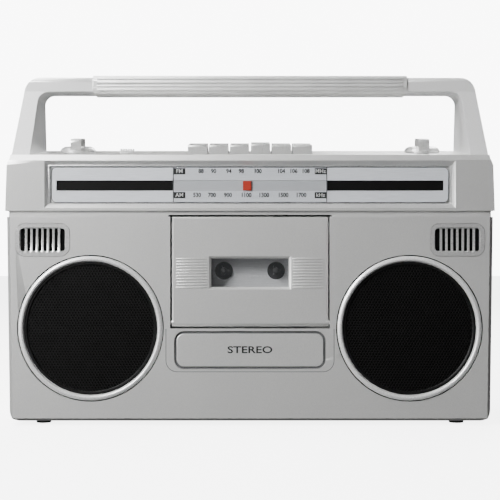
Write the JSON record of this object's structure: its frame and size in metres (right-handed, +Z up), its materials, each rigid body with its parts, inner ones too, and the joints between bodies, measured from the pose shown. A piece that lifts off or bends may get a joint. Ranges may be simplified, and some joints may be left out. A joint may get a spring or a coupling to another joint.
{
  "type": "portable radio cassette player",
  "caption": "Portable radio cassette recorder with a top handle, round speaker grilles, a hinged cassette door, piano keys, knobs, a tuning dial and a telescopic aerial.",
  "frame": {"origin": "middle of the cabinet's footprint, on the surface that the feet stand on", "axes": "+X to the right seen from the front, +Y from the front face to the back, +Z up"},
  "size_m": [0.392, 0.1192, 0.2859],
  "materials": {
    "silver_paint": "fine silver paint on moulded plastic, satin",
    "handle_paint": "pale silver moulding, satin",
    "trim": "silver trim moulding",
    "dial_silver": "satin aluminium sheet",
    "black_plastic": "matte black moulding",
    "clear_plastic": "clear moulded window",
    "smoked_window": "clear cassette window",
    "black_grille": "black perforated steel",
    "speaker_steel": "pressed steel basket",
    "cone_paper": "black paper cone",
    "rubber": "black rubber",
    "steel": "plated steel",
    "chrome": "bright plating",
    "brass": "turned brass",
    "board": "green circuit board",
    "ferrite": "dark ferrite",
    "iron": "laminated iron",
    "pointer_red": "red moulding",
    "cream_plastic": "natural moulding"
  },
  "bodies": {
    "cabinet": {"front_cabinet": "silver_paint", "rear_cabinet": "silver_paint", "top_cabinet": "silver_paint", "handle_front": "handle_paint", "handle_rear": "handle_paint", "handle_grip": "handle_paint", "dial_tray": "black_plastic", "dial_plate": "dial_silver", "dial_window": "clear_plastic", "nameplate": "silver_paint", "left_grille_ring": "trim", "right_grille_ring": "trim", "left_grille": "black_grille", "right_grille": "black_grille", "left_speaker_frame": "speaker_steel", "right_speaker_frame": "speaker_steel", "left_speaker_cone": "cone_paper", "right_speaker_cone": "cone_paper", "left_vent": "trim", "right_vent": "trim", "rubber_feet": "rubber", "case_screws": "steel", "battery_contacts": "chrome", "mains_inlet": "black_plastic", "main_board": "board", "power_transformer": "iron", "ferrite_aerial": "ferrite", "tuning_capacitor": "steel", "volume_control": "steel", "function_switch": "steel", "dial_cord": "black_plastic", "deck_plate": "steel", "deck_motor": "steel", "drive_belt": "rubber", "key_rod": "steel"},
    "door": {"cassette_door": "silver_paint", "door_window": "smoked_window", "cassette_holder": "black_plastic"},
    "battery_flap": {"battery_door": "silver_paint"},
    "volume": {"volume_knob": "trim"},
    "tuning": {"tuning_knob": "trim", "tuning_drum": "cream_plastic"},
    "pointer": {"dial_pointer": "pointer_red"},
    "function": {"function_slider": "trim"},
    "flywheel": {"capstan_flywheel": "brass"},
    "pulley": {"motor_pulley": "brass"},
    "supply_reel": {"left_spindle": "black_plastic"},
    "take_up_reel": {"right_spindle": "black_plastic"},
    "heads": {"head_carriage": "steel"},
    "pinch": {"pinch_roller": "rubber"},
    "knuckle": {"aerial_knuckle": "chrome"},
    "outer_tube": {"aerial_outer_tube": "chrome"},
    "middle_tube": {"aerial_middle_tube": "chrome"},
    "inner_tube": {"aerial_inner_tube": "chrome"},
    "key_record": {"key_record": "trim"},
    "key_play": {"key_play": "trim"},
    "key_rewind": {"key_rewind": "trim"},
    "key_fast_forward": {"key_fast_forward": "trim"},
    "key_stop": {"key_stop": "trim"},
    "key_pause": {"key_pause": "trim"}
  },
  "joints": [
    {"name": "door_hinge", "type": "hinge", "parent": "cabinet", "child": "door", "pos_m": [0, -0.0548, 0.0822], "axis": [1, 0, 0], "range_deg": [0, 30]},
    {"name": "key_record_press", "type": "hinge", "parent": "cabinet", "child": "key_record", "pos_m": [-0.043, 0.027, 0.213], "axis": [1, 0, 0], "range_deg": [0, 5.5], "stiffness_Nm_per_rad": 1.5, "springref_deg": -3.44},
    {"name": "key_play_press", "type": "hinge", "parent": "cabinet", "child": "key_play", "pos_m": [-0.0258, 0.027, 0.213], "axis": [1, 0, 0], "range_deg": [0, 5.5], "stiffness_Nm_per_rad": 1.5, "springref_deg": -3.44},
    {"name": "key_rewind_press", "type": "hinge", "parent": "cabinet", "child": "key_rewind", "pos_m": [-0.0086, 0.027, 0.213], "axis": [1, 0, 0], "range_deg": [0, 5.5], "stiffness_Nm_per_rad": 1.5, "springref_deg": -3.44},
    {"name": "key_fast_forward_press", "type": "hinge", "parent": "cabinet", "child": "key_fast_forward", "pos_m": [0.0086, 0.027, 0.213], "axis": [1, 0, 0], "range_deg": [0, 5.5], "stiffness_Nm_per_rad": 1.5, "springref_deg": -3.44},
    {"name": "key_stop_press", "type": "hinge", "parent": "cabinet", "child": "key_stop", "pos_m": [0.0258, 0.027, 0.213], "axis": [1, 0, 0], "range_deg": [0, 5.5], "stiffness_Nm_per_rad": 1.5, "springref_deg": -3.44},
    {"name": "key_pause_press", "type": "hinge", "parent": "cabinet", "child": "key_pause", "pos_m": [0.043, 0.027, 0.213], "axis": [1, 0, 0], "range_deg": [0, 5.5], "stiffness_Nm_per_rad": 1.5, "springref_deg": -3.44},
    {"name": "volume_turn", "type": "hinge", "parent": "cabinet", "child": "volume", "pos_m": [-0.144, -0.008, 0.22176], "axis": [0, -0.1063, 0.9943], "range_deg": [-145, 145]},
    {"name": "tuning_turn", "type": "hinge", "parent": "cabinet", "child": "tuning", "pos_m": [0.144, -0.008, 0.22176], "axis": [0, -0.1063, 0.9943], "range_deg": [-180, 203]},
    {"name": "pointer_slide", "type": "slide", "parent": "cabinet", "child": "pointer", "axis": [1, 0, 0], "range_m": [-0.0405, 0.0455]},
    {"name": "function_slide", "type": "slide", "parent": "cabinet", "child": "function", "axis": [1, 0, 0], "range_m": [-0.006, 0.006]},
    {"name": "battery_door_hinge", "type": "hinge", "parent": "cabinet", "child": "battery_flap", "pos_m": [0, 0.0576, 0.0118], "axis": [-1, 0, 0], "range_deg": [0, 85]},
    {"name": "flywheel_spin", "type": "hinge", "parent": "cabinet", "child": "flywheel", "pos_m": [0.025, -0.0395, 0.1496], "axis": [0, 1, 0], "continuous": true},
    {"name": "pulley_spin", "type": "hinge", "parent": "cabinet", "child": "pulley", "pos_m": [-0.03, -0.0395, 0.1496], "axis": [0, 1, 0], "continuous": true},
    {"name": "supply_reel_spin", "type": "hinge", "parent": "cabinet", "child": "supply_reel", "pos_m": [-0.02125, -0.0395, 0.1236], "axis": [0, 1, 0], "continuous": true},
    {"name": "take_up_reel_spin", "type": "hinge", "parent": "cabinet", "child": "take_up_reel", "pos_m": [0.02125, -0.0395, 0.1236], "axis": [0, 1, 0], "continuous": true},
    {"name": "head_slide", "type": "slide", "parent": "cabinet", "child": "heads", "axis": [0, 0, -1], "range_m": [0, 0.0075]},
    {"name": "pinch_spin", "type": "hinge", "parent": "heads", "child": "pinch", "pos_m": [0.025, -0.0455, 0.165], "axis": [0, 1, 0], "continuous": true},
    {"name": "aerial_swivel", "type": "hinge", "parent": "cabinet", "child": "knuckle", "pos_m": [0.15, 0.054, 0.2129], "axis": [0, 0, -1], "range_deg": [0, 60]},
    {"name": "aerial_lift", "type": "hinge", "parent": "knuckle", "child": "outer_tube", "pos_m": [0.15, 0.054, 0.2199], "axis": [0, 1, 0], "range_deg": [0, 90]},
    {"name": "aerial_middle_slide", "type": "slide", "parent": "outer_tube", "child": "middle_tube", "axis": [-1, 0, 0], "range_m": [0, 0.14]},
    {"name": "aerial_inner_slide", "type": "slide", "parent": "middle_tube", "child": "inner_tube", "axis": [-1, 0, 0], "range_m": [0, 0.14]}
  ],
  "couplings": [
    {"joint": "pointer_slide", "follows": "tuning_turn", "m_per_rad": 0.0127},
    {"joint": "head_slide", "follows": "key_play_press", "m_per_rad": 0.07774},
    {"joint": "pulley_spin", "follows": "flywheel_spin", "ratio": 4.2}
  ]
}
